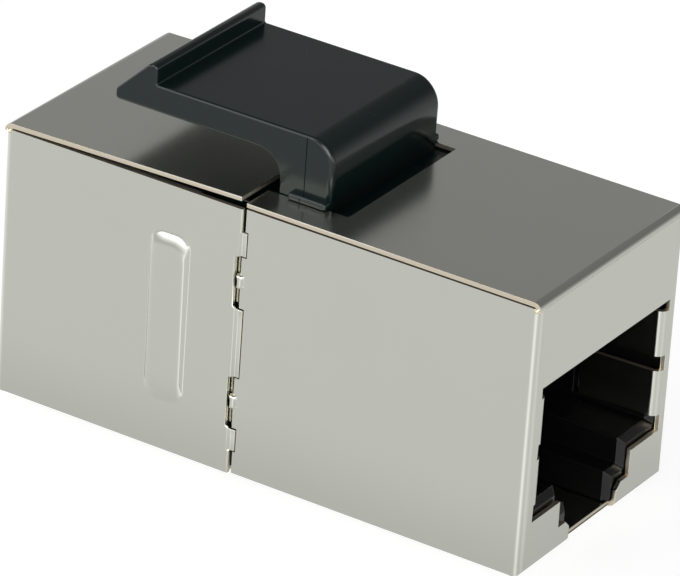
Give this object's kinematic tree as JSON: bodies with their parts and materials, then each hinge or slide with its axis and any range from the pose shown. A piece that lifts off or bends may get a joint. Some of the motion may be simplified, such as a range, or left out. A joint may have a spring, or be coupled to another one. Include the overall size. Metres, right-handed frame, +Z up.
{
  "type": "rj45 inline coupler",
  "caption": "Shielded inline coupler that joins modular network plugs end to end, with folded steel shells round back-to-back jacks, a keystone latch on top and a panel lug below.",
  "frame": {"origin": "centre of the coupler's length and width, at the underside of the keystone lug, which is the object's lowest point", "axes": "+X along the length towards the cable-side plug port, with the panel end at -X; +Y across the width; +Z up towards the latch"},
  "size_m": [0.0322, 0.0152, 0.0214],
  "materials": {
    "shell_steel": "satin nickel plate",
    "jack_plastic": "fine moulded grain",
    "latch_plastic": "fine moulded grain",
    "contact_gold": "gold plate",
    "board_laminate": "solder mask"
  },
  "bodies": {
    "root": {"front_shell": "shell_steel", "rear_shell": "shell_steel", "latch_clip": "latch_plastic", "circuit_board": "board_laminate", "front_jack_housing": "jack_plastic", "front_contact_carrier": "jack_plastic", "front_contact_1": "contact_gold", "front_contact_2": "contact_gold", "front_contact_3": "contact_gold", "front_contact_4": "contact_gold", "front_contact_5": "contact_gold", "front_contact_6": "contact_gold", "front_contact_7": "contact_gold", "front_contact_8": "contact_gold", "rear_jack_housing": "jack_plastic", "rear_contact_carrier": "jack_plastic", "rear_contact_1": "contact_gold", "rear_contact_2": "contact_gold", "rear_contact_3": "contact_gold", "rear_contact_4": "contact_gold", "rear_contact_5": "contact_gold", "rear_contact_6": "contact_gold", "rear_contact_7": "contact_gold", "rear_contact_8": "contact_gold"}
  },
  "joints": []
}
